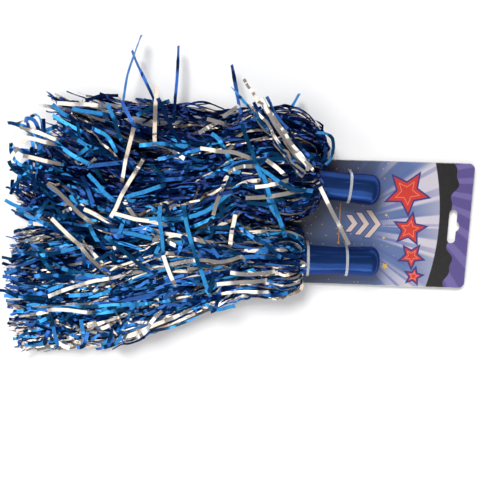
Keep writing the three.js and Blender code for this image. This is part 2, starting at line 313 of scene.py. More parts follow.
RAY_CENTRE = (-34.0, -2.0)
RED_STARS = [(34, 31, 19.5, 0.2), (39, -4, 14, -0.2), (42.5, -30, 10.5, 0.25), (46, -49.5, 7, -0.15)]
YELLOW_STARS = [(18, -40.5, 3.4, 0.4), (-2, 24, 1.8, 0.9), (16, 9, 1.6, 0.2), (15, -13, 1.6, 0.6)]
CHEVRONS = [(9, 13), (-2, 10.5), (-13, 8)]  # x of the point and half width
ORANGE_RULE = (-27.5, 19.0)
DARK_BAND = (66.0, 78.0)  # where its two edges are, halfway up the card
CARD_INK = {
    # Dark colour of the painted shade over the sky, not a printed ink.
    "painted_shade": paint(42, 45, 66),
    "slate": paint(52, 67, 97),
    "sky": paint(84, 106, 150),
    "haze": paint(188, 182, 192),
    "shade": paint(76, 90, 150),
    "band": paint(12, 10, 12),
    "purple": paint(80, 67, 126),
    "lilac": paint(110, 98, 154),
    "red": paint(188, 42, 28),
    "coral": paint(222, 112, 92),
    "navy": paint(40, 36, 104),
    "beige": paint(196, 178, 168),
    "yellow": paint(214, 172, 40),
    "orange": paint(204, 130, 34),
    "board": paint(214, 210, 202),
}


def card_sky(made, x, y):
    """The printed ground: a slate sky that pales towards the band, with rays spreading from one side, and
    painted shade that darkens it towards +Y and the tassels.
    """
    ink = CARD_INK
    spread = (y - RAY_CENTRE[1]).math("ARCTAN2", (x - RAY_CENTRE[0]).math("MAXIMUM", 1.0))
    wave = (spread * 17 + (spread * 6).math("SINE") * 1.6).math("SINE")
    narrow = (spread * 41 + (spread * 9).math("SINE") * 2.0).math("SINE")
    ground = made.mix(x.span(-50, 22).socket, ink["slate"], ink["sky"])
    # Painted shade: the sky darkens towards +Y and towards the tassels' end.
    painted_shade_upper_left = y.span(-5, 58) * x.span(42, -36).socket
    ground = made.mix(painted_shade_upper_left.socket, ground, ink["painted_shade"])
    towards_band = x.span(4, 44)
    ground = made.mix((wave.span(-0.35, 0.1) * towards_band.socket).socket, ground, ink["haze"])
    fine_rays = narrow.span(0.55, 0.8) * x.span(-20, 12, 0, 0.7).socket
    ground = made.mix(fine_rays.socket, ground, ink["shade"])
    return made.mix((x.span(36, 66) * 0.5).socket, ground, ink["haze"])


def outlined(made, colour, distance, fill, line, width):
    """Paints a shape with an outline round it over what is there."""
    colour = made.mix((distance - width).within(), colour, line)
    return made.mix(distance.within(), colour, fill)


def card_figures(made, x, y, colour):
    ink = CARD_INK
    for star in RED_STARS:
        distance = star_distance(x, y, star)
        colour = outlined(made, colour, distance, ink["red"], ink["navy"], 1.6)
        inner = abs(distance + star[2] * 0.16) - 0.35
        colour = made.mix(inner.within(), colour, ink["coral"])
    for point, half in CHEVRONS:
        rise = abs(y)
        distance = (abs(x + rise * 0.75 - point) - 2.6).math("MAXIMUM", rise - half)
        colour = outlined(made, colour, distance, ink["beige"], ink["navy"], 0.9)
    for star in YELLOW_STARS:
        colour = made.mix(star_distance(x, y, star).within(), colour, ink["yellow"])
    at, half = ORANGE_RULE
    rule = (abs(x - at) - 0.35).math("MAXIMUM", abs(y) - half)
    dot = length_of(x - at, y + half) - 1.3
    return made.mix(rule.math("MINIMUM", dot).within(), colour, ink["orange"])


def card_end(made, x, y, colour):
    """The printed end round the hang slot: a bowed dark band, and purple with rays past its wavy edge."""
    ink = CARD_INK
    left_edge, right_edge = DARK_BAND
    bow = y * y * 0.0022
    colour = made.mix((x * -1 - bow + left_edge).within(), colour, ink["band"])
    wave = (y * 0.16 + 1.0).math("SINE") * 2.8 + (y * 0.37).math("SINE") * 1.3
    ray = ((y - 40).math("ARCTAN2", x - 20) * 30).math("SINE").span(0.2, 0.6, 0.0, 0.7)
    purple = made.mix(ray.socket, ink["purple"], ink["lilac"])
    return made.mix((wave + right_edge - x).within(), colour, purple)


def card_specks(made, x, colour):
    """Fine gold specks scattered over the sky."""
    cells = made.node("TexVoronoi", {"Vector": made.place(), "Scale": 0.11}, voronoi_dimensions="2D")
    near = Field(made, cells.outputs["Distance"]) - 0.05
    chosen = Field(made, cells.outputs["Color"]).span(0.42, 0.44)
    shown = Field(made, near.within(0.04)) * chosen.socket * x.span(34, 20).socket
    return made.mix(shown.socket, colour, CARD_INK["yellow"])


def card_material():
    """Coated board: printed on its face and plain grey-white on its back and cut edges."""
    ink = CARD_INK
    made = Material("printed_board", ink["slate"], Metallic=0.0)
    made.set("Coat Weight", 0.12)
    made.set("Coat Roughness", 0.25)
    split = made.node("SeparateXYZ", {0: made.place()})
    x, y, z = (Field(made, socket) for socket in split.outputs)
    colour = card_specks(made, x, card_sky(made, x, y))
    colour = card_figures(made, x, y, colour)
    colour = card_end(made, x, y, colour)
    grain = made.noise(2.2, 3)
    colour = made.mix(made.span(grain, 0.35, 0.75, 0, 0.05), colour, ink["board"])
    inset = (abs(x) * -1 + CARD_HIGH[0]).math("MINIMUM", abs(y) * -1 + CARD_HIGH[1])
    wear = (inset - 0.7 + Field(made, made.noise(0.5, 4)) * 0.9 - 0.3).within(0.5)
    colour = made.mix((Field(made, wear) * 0.55).socket, colour, ink["board"])
    board = made.ramp(made.noise(0.8, 5), [(0.3, paint(196, 192, 184)), (0.7, ink["board"])])
    colour = made.mix(z.span(CARD_HIGH[2] - 0.08, CARD_HIGH[2] - 0.04).socket, board, colour)
    made.set("Base Color", colour)
    made.set("Roughness", made.span(grain, 0.3, 0.7, 0.38, 0.48))
    made.bump(made.noise(0.05, 3), 0.25, 0.002)
    return made.material


def root_material():
    """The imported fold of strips: blue with the ends of silver strips showing round it."""
    made = Material("packed_foil", (0.01, 0.08, 0.4), Metallic=1.0, Roughness=0.25)
    layers = made.noise(1.1, 2, stretch=(0.15, 1, 1))
    stops = [(0.35, (0.005, 0.03, 0.2)), (0.55, (0.012, 0.12, 0.5)), (0.62, (0.75, 0.68, 0.6))]
    made.set("Base Color", made.ramp(layers, stops))
    made.bump(layers, 0.5, 0.001)
    return made.material


def dress_cad_nodes():
    """Gives every CAD node that stays in view its finished material."""
    kinds = {
        "header_card": card_material(),
        "ferrule": plain_material("black_moulding", (0.012, 0.013, 0.016), (0.02, 0.022, 0.026), 0.45, 0.6),
        "staple": plain_material("steel_wire", (0.5, 0.5, 0.52), (0.66, 0.66, 0.68), 0.3, 1.5, 1.0, 0.05),
        "washer": plain_material("fibre_board", (0.2, 0.12, 0.06), (0.32, 0.21, 0.12), 0.8, 1.8, 0.0, 0.4),
        "binding_band": plain_material("black_rubber", (0.008, 0.008, 0.009), (0.018, 0.018, 0.02), 0.7, 0.9),
        "foil_root": root_material(),
    }
    for name, node in frame["nodes"].items():
        material = next((kinds[kind] for kind in kinds if name.startswith(kind)), None)
        if material:
            node.data.materials.clear()
            node.data.materials.append(material)


# ---- Floor and light ----
LIT_PLACE = Vector((-0.12, 0, 0.02))  # metres: what every light points at


def place_light(light, place):
    lamp = bpy.data.objects.new(light.name, light)
    bpy.context.collection.objects.link(lamp)
    away = Vector(place) - LIT_PLACE
    lamp.matrix_world = Matrix.Translation(place) @ away.to_track_quat("Z", "Y").to_matrix().to_4x4()
    return lamp


def panel(name, place, size, power, colour):
    """A bright window or ceiling, which the foil mirrors."""
    light = bpy.data.lights.new(name, "AREA")
    light.shape = "RECTANGLE"
    light.size, light.size_y = size
    light.energy = power
    light.color = colour
    place_light(light, place)


def soft_sun(name, place, strength, spread):
    """Even light on everything, which is left out of the foil's reflections."""
    light = bpy.data.lights.new(name, "SUN")
    light.energy = strength
    light.angle = math.radians(spread)
    place_light(light, place).visible_glossy = False


def make_stage():
    bpy.ops.mesh.primitive_plane_add(size=6, location=(0, 0, FLOOR * MM))
    floor = bpy.context.object
    floor.name = "floor"
    floor.data.materials.append(floor_material())
    warm, cool = (1.0, 0.97, 0.93), (0.94, 0.97, 1.0)
    soft_sun("key", (-0.5, 0.85, 1.2), 3.1, 25)
    panel("ceiling", (-0.48, -0.5, 1.45), (2.3, 1.15), 9.2, (1.0, 0.98, 0.95))
    panel("near_window", (-0.2, -1.3, 0.75), (1.4, 0.6), 6.0, warm)
    panel("left_window", (-1.7, -0.1, 0.8), (0.9, 1.6), 8.0, cool)
    panel("far_window", (-0.3, 1.1, 1.0), (0.9, 0.16), 0.8, cool)
    bpy.context.scene.view_settings.view_transform = "Standard"


def make_world():
    """A studio with a pale horizon, dark above it and more so on the +Y side, for contrast in the foil."""
    bpy.context.scene.world = bpy.data.worlds.new("studio")
    nodes = Nodes(bpy.context.scene.world, "BACKGROUND")
    direction = nodes.node("SeparateXYZ", {0: nodes.node("TexCoord").outputs["Generated"]}).outputs
    levels = [(0.0, 0.85), (0.1, 0.75), (0.2, 0.17), (0.6, 0.12), (1.0, 0.16)]
    sky = nodes.ramp(direction["Z"], [(at, (level, level, level * 1.15)) for at, level in levels])
    above_horizon = nodes.span(direction["Z"], 0.1, 0.2, 0.0, 0.8)
    inputs = {0: nodes.span(direction["Y"], 0.0, 0.7), 1: above_horizon}
    far_side = nodes.node("Math", inputs, operation="MULTIPLY").outputs[0]
    nodes.set("Color", nodes.mix(far_side, sky, (0.03, 0.032, 0.04)))


# ---- Mesh making ----
def make_object(name, vertices, faces, material, sharp=None, attributes=None):
    mesh = bpy.data.meshes.new(name)
    mesh.from_pydata((np.asarray(vertices) * MM).tolist(), [], faces)
    mesh.materials.append(material)
    mesh.shade_smooth()
    for key, values in (attributes or {}).items():
        layer = mesh.attributes.new(key, "FLOAT", "POINT")
        layer.data.foreach_set("value", np.asarray(values, np.float32))
    mesh.update()
    if sharp:
        mesh.set_sharp_from_angle(angle=math.radians(sharp))
    made = bpy.data.objects.new(name, mesh)
    bpy.context.collection.objects.link(made)
    return made


def grid_faces(rings, sides, closed_ring=True, offset=0):
    """Quads between rings of points that are listed ring by ring."""
    wrap = sides if closed_ring else sides - 1
    faces = []
    for ring in range(rings - 1):
        low, high = offset + ring * sides, offset + (ring + 1) * sides
        for side in range(wrap):
            after = (side + 1) % sides
            faces.append((low + side, low + after, high + after, high + side))
    return faces


# ---- Handles ----
HANDLE = {"length": 98.0, "bulge": 14.0, "waist": 12.9, "mouth": 12.9, "bore": 10.9, "dome": 9.0}
HANDLE_BULGES = (33.0, 89.0)


def handle_radius(x):
    near, far = HANDLE_BULGES
    if x < near:
        return HANDLE["mouth"] + (HANDLE["bulge"] - HANDLE["mouth"]) * math.sin(x / near * math.pi / 2)
    phase = min(1.0, (x - near) / (far - near))
    swell = 0.5 + 0.5 * math.cos(phase * 2 * math.pi)
    return HANDLE["waist"] + (HANDLE["bulge"] - HANDLE["waist"]) * swell


def handle_profile():
    """From inside the bore, round the mouth's lip, along the outside and over the domed end."""
    lip = 0.5
    side_end = HANDLE["length"] - HANDLE["dome"]
    profile = [(60.0, HANDLE["bore"]), (4.0, HANDLE["bore"]), (lip, HANDLE["bore"])]
    profile += [(0.0, HANDLE["bore"] + lip), (0.0, handle_radius(0) - lip)]
    profile += [(x, handle_radius(x)) for x in np.linspace(lip, side_end, 56)]
    for angle in np.linspace(0, math.pi / 2, 15)[1:]:
        rim = HANDLE["bulge"] - HANDLE["dome"] + HANDLE["dome"] * math.cos(angle)
        profile.append((side_end + HANDLE["dome"] * math.sin(angle) * 0.94, rim))
    profile += [(HANDLE["length"] - 0.3, rim * share) for share in (0.7, 0.4, 0.12)]
    return profile


def make_handle(pom, material):
    sides = 112
    seam_height, seam_width = 0.14, 0.05
    angles = np.arange(sides) / sides * 2 * math.pi
    seam = seam_height * np.exp(-((np.sin(angles) / seam_width) ** 2))
    rings = []
    for x, radius in handle_profile():
        outer = radius + (seam if radius > HANDLE["bore"] + 0.6 else 0)
        rings.append(pom.place(np.full(sides, x), outer * np.cos(angles), outer * np.sin(angles)))
    vertices = np.concatenate(rings)
    faces = grid_faces(len(rings), sides)
    faces.append(tuple(range(len(vertices) - sides, len(vertices))))
    handle = make_object(f"handle_{pom.key}_shell", vertices, faces, material)
    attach(handle, pom.grip)
    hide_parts(f"handle_{pom.key}")


# ---- Cable ties ----
TIE = {"width": 2.5, "thickness": 1.1, "clearance": 0.4, "head": 5.2, "head_height": 3.4, "bend": 1.6}
AXIS_HEIGHT = JOINTS["lift_a"]["pos_m"][2] / MM  # of both handles above the card's back
STRAP_BOTTOM = -AXIS_HEIGHT - 0.3


def arc(x, y, radius, start, end, steps):
    angles = np.linspace(start, end, steps)
    return np.stack([x + radius * np.cos(angles), y + radius * np.sin(angles)], 1)


def tie_loop(at):
    """The middle line of the strap at this distance from the mouth, as rows of across and up."""
    radius = HANDLE["bulge"] + TIE["clearance"] + TIE["thickness"] / 2
    bottom = STRAP_BOTTOM - TIE["thickness"] / 2
    corner = TIE["bend"] - TIE["thickness"] / 2
    slack = radius - handle_radius(at) - TIE["thickness"] / 2 - 0.12
    over = arc(0, 0, radius - slack, 0, math.pi, 44)
    left = arc(-radius + corner, bottom + corner, corner, math.pi, math.pi * 1.5, 7)
    right = arc(radius - corner, bottom + corner, corner, math.pi * 1.5, math.pi * 2, 7)
    return np.concatenate([over, left, right])


def rounded_section(width, thickness, edge):
    """A flat strap's section with bevelled edges and a faint groove down its outer face."""
    w, t = width / 2, thickness / 2
    half = [(-w, 0), (-w, t - edge), (-w + edge, t), (-w / 2, t), (-w / 3, t - 0.12)]
    outer = half + [(-x, y) for x, y in reversed(half)]
    return outer + [(w, -t + edge), (w - edge, -t), (-w + edge, -t), (-w, -t + edge)]


def bevelled_block(low, high, bevel):
    """Rings of a block whose edges are all cut off by bevel, from its lowest face to its highest."""
    low, high = np.asarray(low, float), np.asarray(high, float)
    rings = []
    levels = [(low[2], bevel), (low[2] + bevel, 0), (high[2] - bevel, 0), (high[2], bevel)]
    for z, inset in levels:
        x0, y0 = low[:2] + inset
        x1, y1 = high[:2] - inset
        corners = [(x0 + bevel, y0), (x1 - bevel, y0), (x1, y0 + bevel), (x1, y1 - bevel)]
        corners += [(x1 - bevel, y1), (x0 + bevel, y1), (x0, y1 - bevel), (x0, y0 + bevel)]
        rings.append([(x, y, z) for x, y in corners])
    return np.array(rings)


def block_faces(offset, rings, sides):
    faces = grid_faces(rings, sides, offset=offset)
    faces.append(tuple(range(offset + sides - 1, offset - 1, -1)))
    last = offset + (rings - 1) * sides
    faces.append(tuple(range(last, last + sides)))
    return faces


def make_cable_tie(pom, label, at, material):
    loop = tie_loop(at)
    before, after = np.roll(loop, 1, 0), np.roll(loop, -1, 0)
    tangent = (after - before) / np.linalg.norm(after - before, axis=1, keepdims=True)
    outward = np.stack([tangent[:, 1], -tangent[:, 0]], 1)
    section = rounded_section(TIE["width"], TIE["thickness"], 0.3)
    rings = []
    for point, out in zip(loop, outward):
        side = [at + x for x, _ in section]
        rings.append(pom.place(side, [point[0] + out[0] * y for _, y in section],
                               [point[1] + out[1] * y for _, y in section]))
    rings.append(rings[0])
    sides = len(section)
    vertices = list(np.concatenate(rings))
    faces = grid_faces(len(rings), sides)
    half = TIE["head"] / 2
    top = STRAP_BOTTOM - TIE["thickness"] + 0.4
    bottom = STRAP_BOTTOM - TIE["thickness"] - TIE["head_height"]
    tail = (at - TIE["width"] / 2, at + TIE["width"] / 2)
    blocks = [
        ((at - half, -half, bottom + 0.3), (at + half, half, top), 0.5),
        ((tail[0], -half + 0.9, bottom), (tail[1], half - 0.9, bottom + 1), 0.2),
        ((tail[0], half - 0.3, bottom + 1.2), (tail[1], half + 1.2, bottom + 2.4), 0.2),
    ]
    for low, high, bevel in blocks:
        shape = bevelled_block(low, high, bevel)
        faces += block_faces(len(vertices), len(shape), len(shape[0]))
        points = shape.reshape(-1, 3)
        vertices += list(pom.place(points[:, 0], points[:, 1], points[:, 2]))
    tie = make_object(f"cable_tie_{pom.key}_{label}_strap", np.array(vertices), faces, material, 25)
    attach(tie, "card")
    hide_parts(f"cable_tie_{pom.key}_{label}")


# ---- Foil strips ----
FOIL_WIDTH = 3.6
CREASE = 3.4  # distance between the points along a strip
SPLINE_POINTS = 160  # of the smooth line that they are taken from
# How far a strip keeps from the axis of its own handle, by distance from the mouth: over the binding band,
# over the ferrule's flange and over the handle.
OWN_CLEAR = [(-9.1, 0.0), (-9.0, 11.5), (-3.5, 11.5), (-3.0, 14.8), (-1.0, 14.8), (0.0, 16.0)]
# How far it keeps from the axis of the other handle, which slides out past it.
SLIDE_OUT = JOINTS["slide_out_a"]["range_m"][1] / MM
OTHER_CLEAR = [(-SLIDE_OUT - ROOT_REACH - 2, 0.0), (-SLIDE_OUT - ROOT_REACH, 17.5)]
TIE_CLEAR = 17.5  # from the same axes, near a tie
TIE_REACH = 6.0  # along the handle, each side of a tie
CARD_CLEAR = CARD_HIGH[2] + 0.5
FLOOR_CLEAR = FLOOR + 0.5
CARD_MARGIN = 3  # how far past the card's edges strips keep to its height
CARD_SLOPE = 8  # and over what stretch they come down from there to the floor
UP = np.array([0.0, 0.0, 1.0])
FLOW_STOPS = 5  # places that steer a strip between the puff and its end
TOP_LEVEL = 0.78  # strips above this level, from 0 to 1, are on top
# Strips that lie flat on top get a pale tint: partly real tone, partly painted reflection of the bright
# ceiling.
FLAT_SHADE = 0.75  # mean shade of strips that lie flat on top


class Tassel:
    """The space that one pom pom's tassel fills, and how its strips are mixed and tinted."""

    def __init__(self, upper_side, lower_side, far_end, puff_centre, puff_radii, shares, shade, edge_line):
        self.upper_side = np.array(upper_side, float)  # y of the side towards +Y, by x
        self.lower_side = np.array(lower_side, float)
        self.far_end = np.array(far_end, float)  # x of the strips' ends, by their place from 0 to 1
        self.puff_centre = np.array(puff_centre, float)  # along the handle, across it and up
        self.puff_radii = np.array(puff_radii, float)
        self.silver_share, self.flat_share = shares  # of all strips, and of those on top
        # A low mean shade, as pom pom a's, is partly real tone and partly painted shade in the tassel's mass.
        self.shade = shade  # mean shade of the strips that aren't flat, from 0, dark, to 1, pale
        self.edge_line = np.array(edge_line, float)  # the open side, from near the neck to the far end

    def side_lines(self, x):
        upper = np.interp(-x, -self.upper_side[:, 0], self.upper_side[:, 1])
        lower = np.interp(-x, -self.lower_side[:, 0], self.lower_side[:, 1])
        return lower, upper

    def end_at(self, place):
        return np.interp(place, self.far_end[:, 0], self.far_end[:, 1])


TASSELS = {
    "a": Tassel(
        upper_side=[(-105, 100), (-130, 94), (-170, 82), (-215, 76), (-260, 92), (-300, 106), (-325, 92)],
        lower_side=[(-105, -8), (-150, -16), (-200, -40), (-245, -44), (-290, -18), (-335, 2)],
        far_end=[(0.0, -335), (0.3, -322), (0.6, -306), (1.0, -294)],
        puff_centre=(0, 13, 4), puff_radii=(66, 57, 28), shares=(0.12, 0.15),
        shade=0.12, edge_line=((-96, 100), (-290, 108))),
    "b": Tassel(
        upper_side=[(-105, 4), (-140, 12), (-200, 8), (-260, -8), (-310, -18), (-345, -24)],
        lower_side=[(-105, -74), (-157, -89), (-196, -105), (-236, -126), (-296, -131), (-340, -134)],
        far_end=[(0.0, -330), (0.35, -342), (0.7, -341), (1.0, -335)],
        puff_centre=(-4, 0, 2), puff_radii=(46, 42, 24), shares=(0.24, 0.4),
        shade=0.44, edge_line=((-120, -62), (-330, -122))),
}
TOP_LINE = np.array([(-95, 48), (-150, 47), (-200, 44), (-250, 40), (-300, 32), (-350, 22)], float)


def top_line(x):
    """Height of the tassels' top above the floor, by x."""
    return np.interp(-x, -TOP_LINE[:, 0], TOP_LINE[:, 1])


def b_spline(points, count):
    """count points along the smooth line that the control points pull, from the first to the last."""
    points = np.asarray(points, float)
    points = np.concatenate([points[:1], points[:1], points, points[-1:], points[-1:]])
    spans = len(points) - 3
    at = np.linspace(0, spans, count)
    first = np.minimum(at.astype(int), spans - 1)
    u = (at - first)[:, None]
    weights = [(1 - u) ** 3, 3 * u**3 - 6 * u**2 + 4, -3 * u**3 + 3 * u**2 + 3 * u + 1, u**3]
    return sum(weight * points[first + k] for k, weight in enumerate(weights)) / 6


def even_steps(line, step):
    """The same line with its points a step apart."""
    lengths = np.concatenate([[0], np.cumsum(np.linalg.norm(np.diff(line, axis=0), axis=1))])
    count = max(4, int(lengths[-1] / step) + 1)
    at = np.linspace(0, lengths[-1], count)
    return np.stack([np.interp(at, lengths, line[:, axis]) for axis in range(3)], 1)


def plateaus(count, every, size):
    """Random levels that hold for a stretch and then change over a step or two, as creased foil turns."""
    knots = rng.normal(0, size, count // every + 3)
    at = np.arange(count) / every + rng.random()
    low = at.astype(int)
    share = np.clip((at - low - 0.5) * every * 0.55 + 0.5, 0, 1)
    return knots[low] * (1 - share) + knots[low + 1] * share


def zigzag(count, every, size):
    """Random straight stretches that meet at an angle: how a crumpled strip leaves its smooth line."""
    knots = rng.normal(0, size, (count // every + 3, 3))
    at = np.arange(count) / every + rng.random()
    return np.stack([np.interp(at, np.arange(len(knots)), knots[:, axis]) for axis in range(3)], 1)


def push_off_handle(line, pom, clear_by_place):
    """Pushes points off a handle and its ties, as far as the list says for each distance from the mouth."""
    local = line - pom.mouth
    along = local @ pom.along
    across = local @ pom.across
    up = local[:, 2]
    spread = np.maximum(np.hypot(across, up), 0.01)
    clear = np.interp(along, *zip(*clear_by_place))
    for tie in pom.ties:
        clear[np.abs(along - tie) < TIE_REACH] = TIE_CLEAR
    clear[along > HANDLE["length"] + 2] = 0
    push = np.where(spread < clear, clear / spread, 1.0)
    return line + np.outer(across * (push - 1), pom.across) + np.outer(up * (push - 1), UP)


def keep_clear(line, pom):
    """Keeps points off the card, the floor and both handles."""
    for other in POMS.values():
        line = push_off_handle(line, other, OWN_CLEAR if other is pom else OTHER_CLEAR)
    past_end = CARD_LOW[0] - CARD_MARGIN - line[:, 0]
    past_side = np.abs(line[:, 1]) - CARD_HIGH[1] - CARD_MARGIN
    beside_card = np.clip(np.maximum(past_end, past_side) / CARD_SLOPE, 0, 1)
    lowest = CARD_CLEAR + (FLOOR_CLEAR - CARD_CLEAR) * beside_card
    line[:, 2] = np.maximum(line[:, 2], lowest + rng.uniform(0, 0.8, len(line)))
    return line


def unit(vectors):
    return vectors / np.maximum(np.linalg.norm(vectors, axis=-1, keepdims=True), 1e-9)


class Strip:
    """One strip of foil: its control points, width and tint, its turn about its own length, how much that
    turn changes, how crumpled it is, and how many steps pass between two creases."""

    def __init__(self, points, width=FOIL_WIDTH, shade=0.5, turn=0.0, twist=0.45, crumple=0.8, every=4):
        self.points = [np.asarray(point, float).reshape(3) for point in points]
        self.width = width
        self.shade = shade
        self.turn = turn
        self.twist = twist
        self.crumple = crumple
        self.every = every

    def edges(self, pom):
        """The strip's two edges, one row of two points for each step along it."""
        line = even_steps(b_spline(self.points, SPLINE_POINTS), CREASE)
        count = len(line)
        fade = np.minimum(np.arange(count) / 4, 1)[:, None]
        line = line + zigzag(count, self.every, self.crumple) * fade
        line = keep_clear(line, pom)
        tangent = unit(np.gradient(line, axis=0))
        side = unit(np.cross(tangent, UP))
        flips = np.sign(np.sum(side[1:] * side[:-1], axis=1))
        flips[flips == 0] = 1
        side[1:] *= np.cumprod(flips)[:, None]
        normal = np.cross(side, tangent)
        turn = self.turn + plateaus(count, self.every + 1, self.twist) + rng.normal(0, 0.04, count)
        across = side * np.cos(turn)[:, None] + normal * np.sin(turn)[:, None]
        half = self.width / 2
        rows = np.stack([line - across * half, line + across * half], 1)
        over_card = (rows[..., 0] > CARD_LOW[0] - 2) & (np.abs(rows[..., 1]) < CARD_HIGH[1] + 2)
        lowest = np.where(over_card, CARD_HIGH[2], FLOOR) + 0.2
        rows[..., 2] = np.maximum(rows[..., 2], lowest)
        return rows


def strip_shade(mean):
    return np.clip(rng.normal(mean, 0.25), 0, 1)


PUFF_SHARE = 0.66  # of the strips, those that fold back over the handle's mouth
PUFF_TURN = ((25, 0.75), (52, 1.0), (92, 1.0), (130, 0.95))  # angle back from the mouth, share of the radii


def puff_points(pom, tassel, radial):
    """Where a strip goes that folds back round the neck, over the handle's mouth, before it lies down."""
    reach = 0.4 + 0.6 * rng.random() ** 0.6
    points = []
    for angle, share in PUFF_TURN:
        angle, swing = np.radians([angle, 0] + rng.normal(0, (7, 9)))
        across = radial[0] * math.cos(swing) - radial[1] * math.sin(swing)
        up = radial[0] * math.sin(swing) + radial[1] * math.cos(swing)
        away = np.array([math.cos(angle), across * math.sin(angle), up * math.sin(angle)])
        points.append(pom.place(*(tassel.puff_centre + tassel.puff_radii * reach * share * away)))
    return points


class Lock:
    """A bunch of strips that lie together: their place across, their level, their wander and their end."""

    def __init__(self):
        self.place = rng.random()
        self.level = rng.random() ** 0.8
        self.wander = np.cumsum(rng.normal(0, 0.07, FLOW_STOPS))
        self.end = rng.normal(0, 10)


def flow_strip(pom, tassel, lock):
    """A strip from the neck to a free end, which may puff back over the handle first."""
    place = np.clip(lock.place + rng.normal(0, 0.06), 0, 1)
    level = np.clip(lock.level + rng.normal(0, 0.1), 0, 1)
    direction = math.atan2(2 * level - 0.7, 1.3 * (2 * place - 1))
    radial = np.array([math.cos(direction), math.sin(direction)])
    # It begins inside the bound root, beside the pivot, and comes out through the root's side.
    points = [pom.place(-ROOT_REACH + 0.3, *(rng.uniform(1, 6) * radial))]
    points.append(pom.place(-ROOT_REACH - 3, *(rng.uniform(7, 10) * radial)))
    if rng.random() < PUFF_SHARE:
        points += puff_points(pom, tassel, radial)
    else:
        points.append(pom.place(-ROOT_REACH - 16, *(rng.uniform(14, 22) * radial)))
    end_x = tassel.end_at(place) + max(-5, rng.exponential(16) + lock.end)
    stops = np.linspace(-140 + rng.normal(0, 8), end_x, FLOW_STOPS)
    drift = np.cumsum(rng.normal(0, 0.04, FLOW_STOPS))
    for x, wander in zip(stops, lock.wander + drift):
        lower, upper = tassel.side_lines(x)
        across = np.clip(place + wander, -0.02, 1.04)
        height = top_line(x) * math.sqrt(max(0.12, 1 - 0.85 * (2 * across - 1) ** 2))
        z = FLOOR + 1 + height * np.clip(level + wander * 0.6, 0.02, 1.0)
        points.append(np.array([x, lower + (upper - lower) * across, z]) + rng.normal(0, 2.2, 3))
    flat = level > TOP_LEVEL and rng.random() < tassel.flat_share
    crumpled = not flat and rng.random() < 0.6
    return Strip(
        points,
        width=FOIL_WIDTH * (1.0 if flat else rng.choice([0.9, 0.6, 0.35], p=[0.25, 0.4, 0.35])),
        shade=strip_shade(FLAT_SHADE if flat else tassel.shade),
        turn=rng.normal(0, 0.3) if flat else rng.uniform(-1.5, 1.5),
        twist=0.7 if crumpled else 0.35,
        crumple=1.4 if crumpled else 0.7,
        every=2 if crumpled else 5,
    )


def edge_strip(tassel):
    """A thin strip that has come loose along the open side of the tassel."""
    start, end = np.sort(rng.uniform(0, 1, 2))
    end = min(1.0, max(end, start + 0.3))
    points = []
    for share in np.linspace(start, end, 4):
        x, y = tassel.edge_line[0] + (tassel.edge_line[1] - tassel.edge_line[0]) * share
        outward = np.sign(y) * rng.uniform(-16, 9)
        points.append((x + rng.normal(0, 4), y + outward, FLOOR + rng.uniform(3, 20)))
    width = FOIL_WIDTH * rng.uniform(0.3, 1.0)
    return Strip(points, width, strip_shade(tassel.shade), rng.normal(0, 0.8), twist=0.5)


def stray_strip(tassel):
    """The end of a strip that has slipped across the others on top of the tassel."""
    x = -125 - 190 * rng.random() ** 0.7
    lower, upper = tassel.side_lines(x)
    y = lower + (upper - lower) * rng.uniform(0.1, 0.9)
    heading = rng.normal(math.pi, 0.9)
    step = rng.uniform(8, 16)
    points = []
    for _ in range(5):
        points.append((x, y, FLOOR + top_line(x) + rng.uniform(-7, 1.5)))
        heading += rng.normal(0, 0.25)
        x = np.clip(x + step * math.cos(heading), -335, -110)
        lower, upper = tassel.side_lines(x)
        y = np.clip(y + step * math.sin(heading), lower + 6, upper - 6)
    shade = strip_shade(FLAT_SHADE)
    return Strip(points, shade=shade, turn=rng.normal(0, 0.5), twist=0.3, crumple=0.4, every=5)


CROSSING_LIFT = 2.5  # how far crossing strips ride above the rest
SAG = 0.3  # how closely they follow the surface under them
